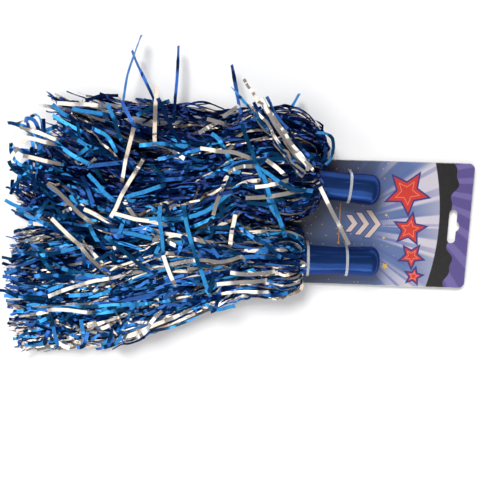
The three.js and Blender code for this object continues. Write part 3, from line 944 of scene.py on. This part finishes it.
# Strips that lie loose over the rest, each by its colour, tint, turn and places across the card's plane.
CROSSING_STRIPS = {
    "a": [
        ("silver", 0.8, 0.1, [(-329, 77), (-312, 73), (-294, 70)]),
        ("silver", 0.9, -0.2, [(-322, 83), (-306, 79), (-290, 74)]),
        ("silver", 0.6, 0.2, [(-318, 58), (-304, 56), (-288, 52)]),
        ("blue", 0.95, 0.1, [(-121, 92), (-116, 77), (-99, 40), (-81, -2)]),
        ("blue", 0.95, -0.2, [(-222, 25), (-205, 32), (-188, 37)]),
        ("blue", 0.9, 0.2, [(-242, 106), (-236, 88), (-231, 75)]),
        ("blue", 0.9, 0.1, [(-293, 104), (-284, 96), (-275, 89)]),
        ("blue", 0.85, -0.1, [(-275, 101), (-260, 98), (-245, 96)]),
        ("blue", 0.8, 0.3, [(-216, 96), (-208, 102), (-196, 107)]),
        ("blue", 0.25, 0.1, [(-196, 112), (-184, 90), (-171, 64)]),
        ("blue", 0.3, -0.3, [(-230, 109), (-224, 96), (-217, 84)]),
        ("blue", 0.5, 0.2, [(-263, 42), (-258, 30), (-253, 16)]),
        ("blue", 0.95, 0.0, [(-257, 44), (-243, 30), (-229, 17)]),
        ("blue", 0.85, 0.1, [(-272, 76), (-262, 70), (-252, 66)]),
        ("silver", 0.6, 0.15, [(-237, 6), (-226, 28), (-212, 52)]),
        ("silver", 0.2, -0.2, [(-217, 86), (-222, 64), (-227, 40)]),
        ("silver", 0.2, 0.2, [(-198, 122), (-199, 100), (-201, 74)]),
        ("silver", 0.9, 0.1, [(-289, 105), (-270, 105), (-252, 104)]),
        ("silver", 0.7, 0.2, [(-125, 12), (-127, 0), (-129, -12)]),
        ("silver", 0.8, -0.1, [(-236, 10), (-214, 5), (-191, 1)]),
        ("silver", 0.3, 0.3, [(-296, 34), (-280, 20), (-266, 6), (-253, -2)]),
        ("silver", 0.7, 0.1, [(-262, 12), (-252, 8), (-243, 2)]),
        ("silver", 0.9, 0.2, [(-160, 82), (-151, 88)]),
        ("silver", 0.7, 0.1, [(-153, 95), (-141, 91)]),
        ("silver", 0.9, -0.1, [(-139, 97), (-132, 102)]),
        ("silver", 0.8, 0.0, [(-157, 70), (-130, 67), (-113, 63)]),
        ("silver", 0.9, 0.1, [(-132, 50), (-122, 55), (-110, 56)]),
        ("silver", 0.9, 0.0, [(-99, 62), (-86, 52)]),
        ("silver", 0.8, 0.2, [(-116, 28), (-95, 29), (-72, 34)]),
        ("silver", 0.9, -0.1, [(-108, 38), (-95, 40), (-82, 44)]),
        ("blue", 0.95, 0.1, [(-115, 24), (-102, 23), (-86, 27)]),
        ("blue", 0.95, -0.1, [(-108, 56), (-93, 47), (-77, 38), (-66, 36)]),
        ("blue", 0.9, 0.0, [(-112, 70), (-102, 44), (-93, 22), (-81, -2)]),
    ],
    "b": [
        ("blue", 0.95, 0.1, [(-171, 20), (-168, 2), (-158, -30), (-149, -58)]),
        ("blue", 0.9, -0.1, [(-192, 18), (-191, -4), (-189, -27)]),
        ("blue", 0.9, 0.2, [(-243, -12), (-222, -30), (-200, -46)]),
        ("blue", 0.95, -0.1, [(-284, -44), (-262, -49), (-242, -52)]),
        ("blue", 0.8, 0.1, [(-268, -94), (-267, -104), (-268, -113)]),
        ("blue", 0.7, 0.2, [(-108, -8), (-98, -14), (-88, -22)]),
        ("silver", 0.95, 0.1, [(-189, -27), (-185, -40), (-179, -52)]),
        ("silver", 0.8, 0.0, [(-210, -3), (-180, -9), (-151, -14)]),
        ("silver", 0.3, 0.1, [(-316, -7), (-300, -7), (-286, -5)]),
        ("silver", 0.5, 0.3, [(-293, 2), (-270, -21), (-246, -45)]),
        ("silver", 0.9, 0.1, [(-300, -86), (-280, -84), (-262, -87)]),
        ("silver", 0.8, -0.2, [(-262, -100), (-246, -95), (-232, -89)]),
        ("silver", 0.7, 0.2, [(-230, -112), (-210, -104), (-188, -92), (-170, -84)]),
        ("silver", 0.8, 0.1, [(-140, -52), (-122, -50), (-104, -48)]),
        ("silver", 0.6, -0.3, [(-136, -62), (-120, -58), (-100, -60)]),
        ("silver", 0.9, 0.2, [(-128, -40), (-112, -42), (-94, -40)]),
    ],
}
# The strips that stand clear of the tassels, as the CAD has them, each begun inside its tassel.
LOOSE_STRIPS = {
    "a": [
        ("blue", 0.5, [(-196, 88, 20), (-200, 108, 12), (-212, 130, 16), (-223, 153, 9)]),
        ("blue", 0.7, [(-232, 92, 20), (-229, 112, 16), (-224, 138, 20), (-214, 167, 9)]),
        ("blue", 0.3, [(-184, 90, 20), (-183, 112, 10), (-181, 134, 14), (-181, 158, 8)]),
        ("blue", 0.2, [(-118, 78, 20), (-124, 101, 10), (-128, 122, 15), (-133, 143, 9)]),
        ("blue", 0.9, [(-96, 80, 20), (-86, 96, 12), (-78, 106, 14), (-71, 119, 9)]),
        ("silver", 0.8, [(-246, 90, 20), (-266, 97, 17), (-290, 101, 17), (-309, 103, 11)]),
    ],
    "b": [
        ("silver", 0.6, [(-292, -108, 16), (-312, -121, 16), (-328, -133, 13), (-340, -144, 5)]),
        ("blue", 0.5, [(-204, -100, 14), (-222, -116, 9), (-240, -127, 11), (-262, -134, 4)]),
    ],
}
# The places that a bunch of creased strips lies over, aslant on a puff.
BUNDLE = [(-124, 128), (-108, 112), (-96, 95), (-83, 78), (-72, 64), (-62, 53)]
BUNDLE_STRIPS = 8
# Strips of pom pom a that loop out at the side of its puff, beside the handle.
SIDE_LOOPS = [
    (0.9, [(-76, 80, 30), (-56, 88, 31), (-42, 84, 31), (-38, 68, 31), (-46, 55, 30), (-66, 50, 28)]),
    (0.5, [(-76, 74, 27), (-58, 82, 28), (-48, 77, 27), (-45, 66, 27), (-52, 55, 27), (-70, 52, 27)]),
    (0.7, [(-80, 70, 23), (-58, 74, 22), (-47, 72, 22), (-42, 62, 22), (-54, 59, 23), (-74, 60, 25)]),
]
# The long silver strip of pom pom a that hangs over its handle and lies across the card.
STRIP_OVER_HANDLE = [(-70, 66, 35), (-58, 52, 34), (-44, 27, 32.5), (-34, 8, 31.8), (-21, -14, 31.2)]


def over_the_top(pom_key, x, y):
    """Height of a tassel's upper surface at a place."""
    lower, upper = TASSELS[pom_key].side_lines(x)
    across = np.clip(2 * (y - lower) / (upper - lower) - 1, -1, 1)
    return FLOOR + 2 + top_line(x) * math.sqrt(max(0.3, 1 - 0.8 * across**2))


def tucked_end(before, last):
    """A point a little past the last one and under the surface."""
    ahead = unit(np.array(last) - np.array(before))
    return np.array(last) + ahead * 9 - UP * 9


def lying_over(places):
    """Points over these places, a little above the tassels and on a flatter line than their surface."""
    heights = [over_the_top("a" if y > 0 else "b", x, y) for x, y in places]
    level = CROSSING_LIFT + max(heights) * (1 - SAG)
    return [(x, y, level + height * SAG) for (x, y), height in zip(places, heights)]


def bundle_strips():
    """The bunch that lies over the puff of pom pom a, as pairs of colour and strip."""
    strips = []
    for number in range(BUNDLE_STRIPS):
        aside = rng.uniform(-6.5, 6.5)
        places = [(x + aside, y + aside * 0.6) for x, y in BUNDLE[rng.integers(0, 2):]]
        points = np.array(lying_over(places)) + rng.normal(0, 1.2, (len(places), 3))
        strip = Strip(points, FOIL_WIDTH * rng.uniform(0.4, 0.9), rng.random(), rng.normal(0, 0.3),
                      twist=0.6, crumple=0.9, every=2)
        strips.append(("silver" if number % 3 else "blue", strip))
    return strips


def placed_strips(key):
    """The strips placed one by one, as pairs of colour and strip."""
    strips = bundle_strips() if key == "a" else []
    for colour, shade, turn, places in CROSSING_STRIPS[key]:
        points = lying_over(places)
        points.append(tucked_end(*points[-2:]))
        creases = {"twist": 0.2, "crumple": 0.5, "every": 4} if colour == "silver" else {"twist": 0.15}
        strips.append((colour, Strip(points, shade=shade, turn=turn, **creases)))
    for colour, shade, points in LOOSE_STRIPS[key]:
        strips.append((colour, Strip(points, shade=shade, turn=0.7, twist=0.2, crumple=0.3, every=5)))
    if key == "a":
        strips.append(("silver", Strip(STRIP_OVER_HANDLE, shade=0.9, twist=0.12, crumple=0.3, every=3)))
        for shade, points in SIDE_LOOPS:
            strips.append(("blue", Strip(points, shade=shade, turn=0.4, twist=0.3)))
    return strips


LOCKS = 52
STRIPS_PER_LOCK = 18
STRAY_STRIPS = 90
EDGE_STRIPS = 30
STRIPS_PER_PIECE = 280


def random_strips(pom, tassel):
    """The strips that fill the tassel, as pairs of colour and strip."""
    strips = [flow_strip(pom, tassel, lock) for lock in [Lock() for _ in range(LOCKS)]
              for _ in range(STRIPS_PER_LOCK)]
    strips += [stray_strip(tassel) for _ in range(STRAY_STRIPS)]
    strips += [edge_strip(tassel) for _ in range(EDGE_STRIPS)]
    return [("silver" if rng.random() < tassel.silver_share else "blue", strip) for strip in strips]


def join_strips(strips, pom):
    vertices, faces, shades = [], [], []
    offset = 0
    for strip in strips:
        rows = strip.edges(pom)
        vertices.append(rows.reshape(-1, 3))
        faces += grid_faces(len(rows), 2, closed_ring=False, offset=offset)
        shades += [strip.shade] * (2 * len(rows))
        offset += 2 * len(rows)
    return np.concatenate(vertices), faces, shades


def make_tassel(pom, tassel, materials):
    strips = {"blue": [], "silver": []}
    for colour, strip in random_strips(pom, tassel) + placed_strips(pom.key):
        strips[colour].append(strip)
    for colour, members in strips.items():
        pieces = math.ceil(len(members) / STRIPS_PER_PIECE)
        for number in range(pieces):
            vertices, faces, shades = join_strips(members[number::pieces], pom)
            name = f"{colour}_strips_{pom.key}_{number + 1}"
            made = make_object(name, vertices, faces, materials[colour], 24, {"shade": shades})
            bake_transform(made)
            if number == 0:
                stands_for = [n for n in frame["nodes"] if stands_for_node(n, colour, pom.key)]
                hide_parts(*stands_for)


def stands_for_node(node, colour, key):
    if node == f"folded_loops_{key}":
        return colour == "blue"
    if node.startswith("loose_strip_"):
        return colour == "blue" and node.startswith(f"loose_strip_{key}")
    return node.startswith(f"{colour}_lock_{key}")


make_camera()
make_stage()
make_world()
dress_cad_nodes()

blue_plastic = handle_material()
nylon = nylon_material()
foils = {
    "blue": foil_material("blue_foil_film", BLUE_FILM, 0.94),
    "silver": foil_material("silver_foil_film", SILVER_FILM, 0.82),
}
for pom in POMS.values():
    make_handle(pom, blue_plastic)
    for label, at in zip(("mouth", "waist"), pom.ties):
        make_cable_tie(pom, label, at, nylon)
    make_tassel(pom, TASSELS[pom.key], foils)
